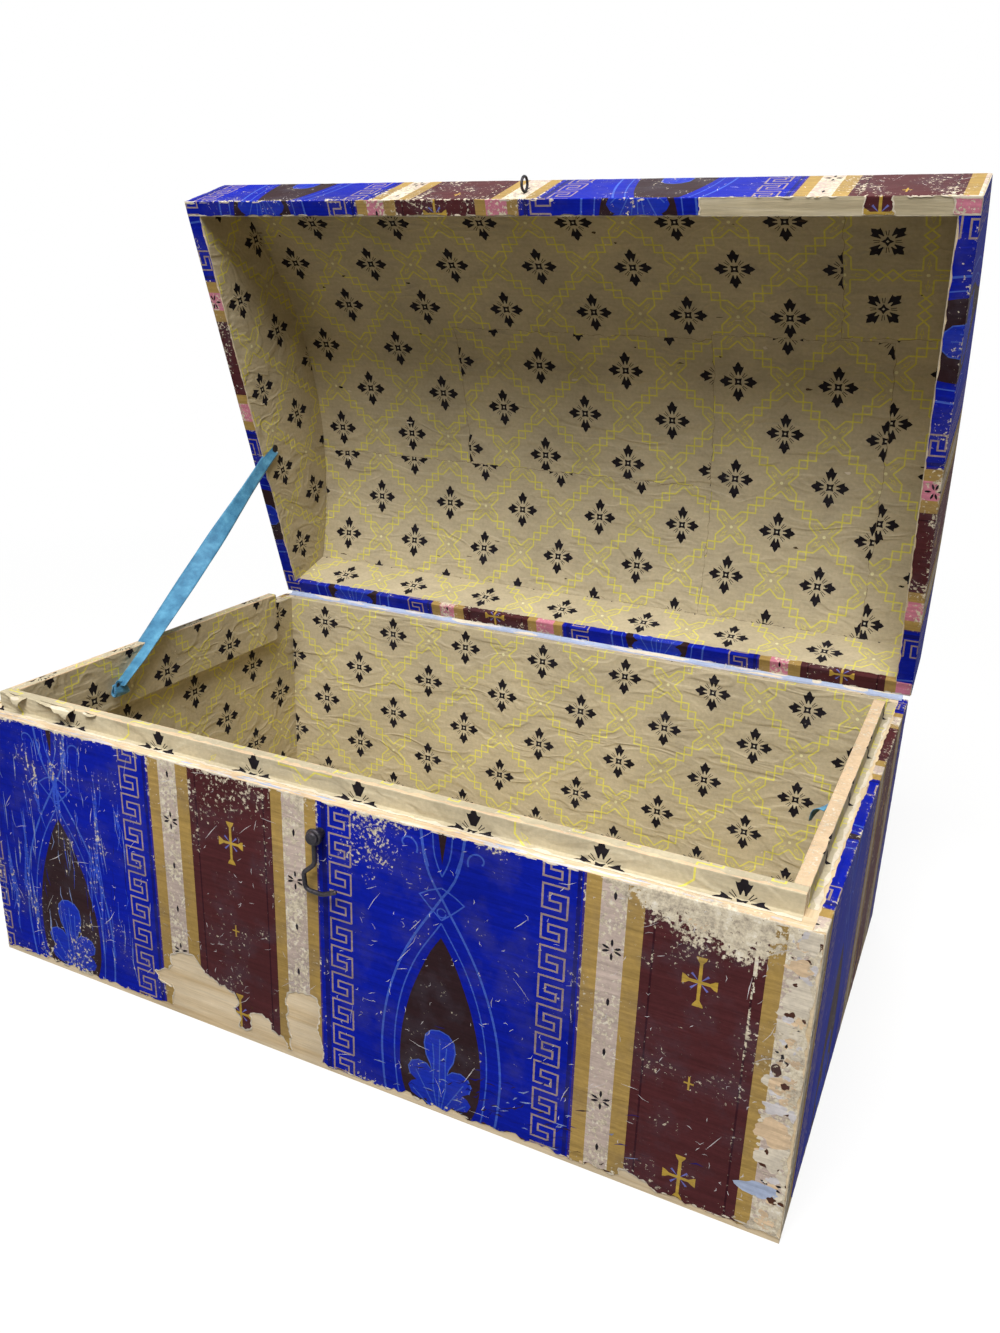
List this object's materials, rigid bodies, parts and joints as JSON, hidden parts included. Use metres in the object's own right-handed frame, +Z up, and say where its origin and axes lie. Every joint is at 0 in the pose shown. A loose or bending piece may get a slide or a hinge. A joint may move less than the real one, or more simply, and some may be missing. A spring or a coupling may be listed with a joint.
{
  "type": "keepsake box",
  "caption": "Low pine box with an arched hinged lid, covered and lined with patterned paper, a wire hook and a ribbon stay.",
  "frame": {"origin": "middle of the underside of the bottom board", "axes": "+X along the length, -Y out of the front, +Z up"},
  "size_m": [0.6032, 0.4487, 0.5746],
  "materials": {
    "pine": "bare sawn pine, aged",
    "lip_pine": "bare planed pine",
    "wall_paper": "matt block-printed wallpaper, worn",
    "lining_paper": "matt printed lining paper",
    "iron": "dark wrought iron, dull",
    "tack_iron": "dark tack iron",
    "ribbon_cloth": "plain-woven cotton tape, blue"
  },
  "bodies": {
    "box": {"bottom_board": "pine", "front_board": "pine", "back_board": "pine", "left_end_board": "pine", "right_end_board": "pine", "front_lip": "lip_pine", "left_lip": "lip_pine", "right_lip": "lip_pine", "corner_nails": "iron", "bottom_nails": "iron", "lip_pins": "iron", "front_paper": "wall_paper", "back_paper": "wall_paper", "left_end_paper": "wall_paper", "right_end_paper": "wall_paper", "floor_lining": "lining_paper", "front_lining": "lining_paper", "back_lining": "lining_paper", "left_lining": "lining_paper", "right_lining": "lining_paper", "left_hinge_body_leaf": "iron", "right_hinge_body_leaf": "iron", "left_hinge_pin": "iron", "right_hinge_pin": "iron", "body_hinge_nails": "iron", "hook_screw": "iron", "ribbon": "ribbon_cloth", "ribbon_body_tack": "tack_iron", "ribbon_stub": "ribbon_cloth"},
    "hook": {"hook": "iron"},
    "lid": {"lid_front_rail": "pine", "lid_back_rail": "pine", "lid_left_end": "pine", "lid_right_end": "pine", "lid_top_back_board": "pine", "lid_top_middle_board": "pine", "lid_top_front_board": "pine", "lid_rail_nails": "iron", "lid_top_nails": "iron", "lid_top_paper": "wall_paper", "lid_front_paper": "wall_paper", "lid_back_paper": "wall_paper", "lid_left_paper": "wall_paper", "lid_right_paper": "wall_paper", "lid_top_lining": "lining_paper", "lid_front_lining": "lining_paper", "lid_back_lining": "lining_paper", "lid_left_lining": "lining_paper", "lid_right_lining": "lining_paper", "left_hinge_lid_leaf": "iron", "right_hinge_lid_leaf": "iron", "lid_hinge_nails": "iron", "lid_eye": "iron", "ribbon_lid_tack": "tack_iron"}
  },
  "joints": [
    {"name": "lid_hinge", "type": "hinge", "parent": "box", "child": "lid", "pos_m": [0, 0.1888, 0.2006], "axis": [1, 0, 0], "range_deg": [0, 71.4], "deforming": ["ribbon"]},
    {"name": "hook_swing", "type": "hinge", "parent": "box", "child": "hook", "pos_m": [-0.001, -0.1938, 0.1788], "axis": [0, -1, 0], "range_deg": [-90, 180]}
  ]
}
